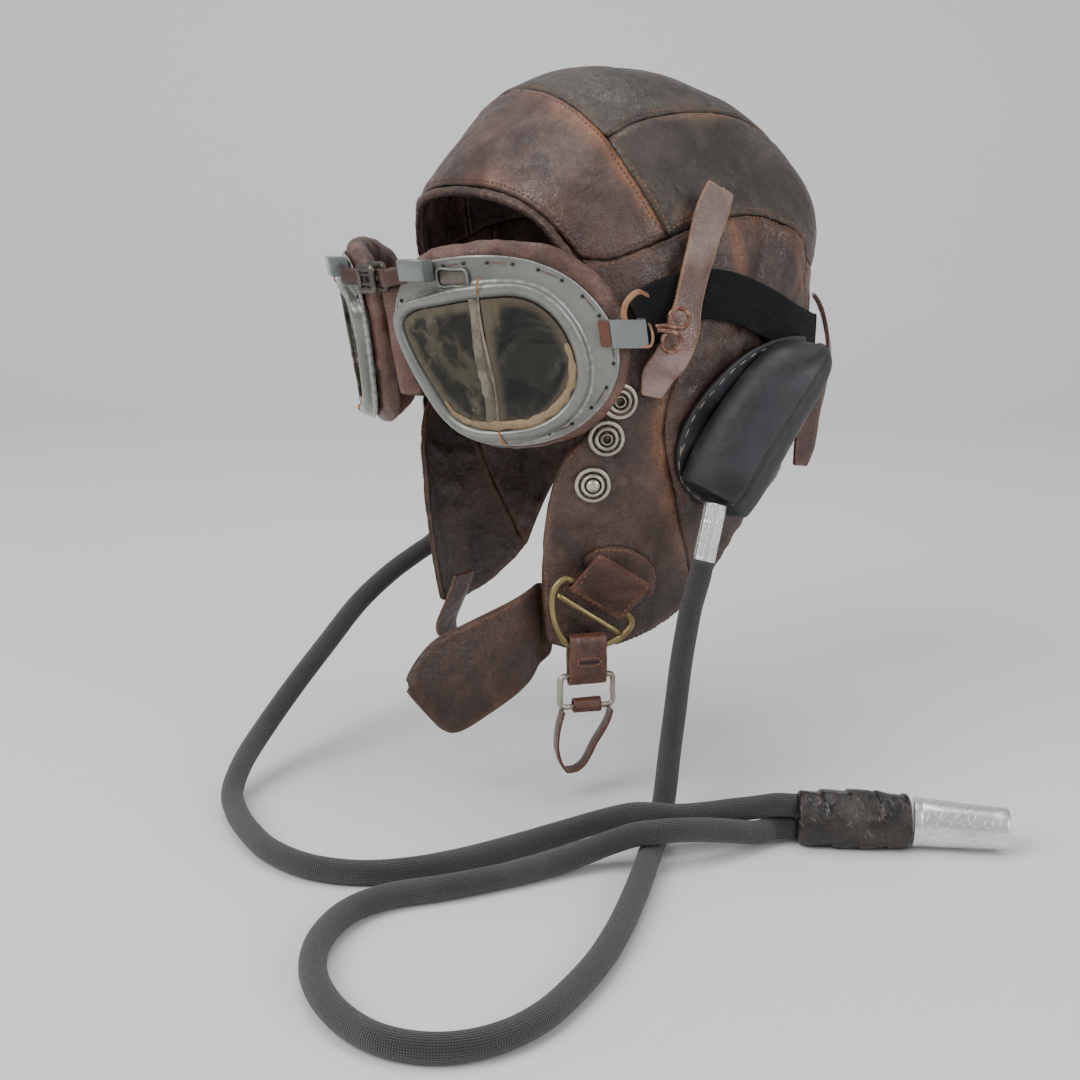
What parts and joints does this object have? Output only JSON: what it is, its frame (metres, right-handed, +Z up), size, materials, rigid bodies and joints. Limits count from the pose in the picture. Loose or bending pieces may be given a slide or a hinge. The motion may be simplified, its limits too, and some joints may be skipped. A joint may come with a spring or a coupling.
{
  "type": "leather flying helmet",
  "caption": "Worn leather flying helmet with goggles on an elastic strap, rubber telephone cups, braided speaking tubes joined at a metal connector, hanging chin flap and strap.",
  "frame": {"origin": "the inner top of the crown, where the helmet rests on a head", "axes": "+Z up along the head, the face opening looks along -Y, the wearer's left side is +X"},
  "size_m": [0.3158, 0.3275, 0.3044],
  "materials": {
    "crown_leather": "worn, lightly grained brown leather",
    "tab_leather": "worn suede-like leather",
    "dark_leather": "dark smooth strap leather",
    "pad_leather": "soft rolled pinkish brown leather",
    "elastic": "black woven elastic",
    "rubber": "matt black moulded rubber",
    "braid": "dark grey-brown woven braid over rubber tube",
    "tape": "dark shiny wrapped tape",
    "aluminium": "bright worn aluminium",
    "brass": "aged dull brass",
    "nickel": "dull plated metal",
    "wire": "copper-brown lacquered wire",
    "frame_paint": "worn grey-green paint",
    "dark_metal": "dark aged metal",
    "lens": "hazy amber-green laminated glass"
  },
  "bodies": {
    "root": {"front_panel": "crown_leather", "crown_centre": "crown_leather", "crown_side_left": "crown_leather", "crown_side_right": "crown_leather", "cheek_left": "crown_leather", "cheek_right": "crown_leather", "ear_panel_left": "crown_leather", "ear_panel_right": "crown_leather", "neck_panel": "crown_leather", "brow_binding": "crown_leather", "press_stud_1_left": "nickel", "press_stud_1_right": "nickel", "press_stud_2_left": "nickel", "press_stud_2_right": "nickel", "press_stud_3_left": "nickel", "press_stud_3_right": "nickel", "goggle_strap": "elastic", "retaining_tab_left": "tab_leather", "retaining_tab_right": "tab_leather", "rear_tab_left": "dark_leather", "rear_tab_right": "dark_leather", "tab_hook_left": "wire", "tab_hook_right": "wire", "cheek_patch": "crown_leather", "d_ring": "brass", "ring_loop": "dark_leather", "hanging_strap": "dark_leather", "strap_slide": "nickel", "strap_keeper": "dark_leather", "narrow_strap": "dark_leather", "chin_flap": "crown_leather", "chin_strap_right": "dark_leather", "ear_flange_left": "rubber", "ear_flange_right": "rubber", "ear_cup_left": "rubber", "ear_cup_right": "rubber", "ear_tube_left": "aluminium", "ear_tube_right": "aluminium", "hose_left": "braid", "hose_right": "braid", "tape_joint": "tape", "tube_connector": "aluminium", "goggle_frame_left": "frame_paint", "goggle_frame_right": "frame_paint", "lens_front_left": "lens", "lens_front_right": "lens", "lens_side_left": "lens", "lens_side_right": "lens", "face_pad_left": "pad_leather", "face_pad_right": "pad_leather", "nose_leather": "pad_leather", "bridge_adjuster": "dark_metal", "bridge_clamp_left": "frame_paint", "bridge_clamp_right": "frame_paint", "clip_tab_left": "pad_leather", "clip_tab_right": "pad_leather", "strap_clip_left": "frame_paint", "strap_clip_right": "frame_paint"}
  },
  "joints": []
}
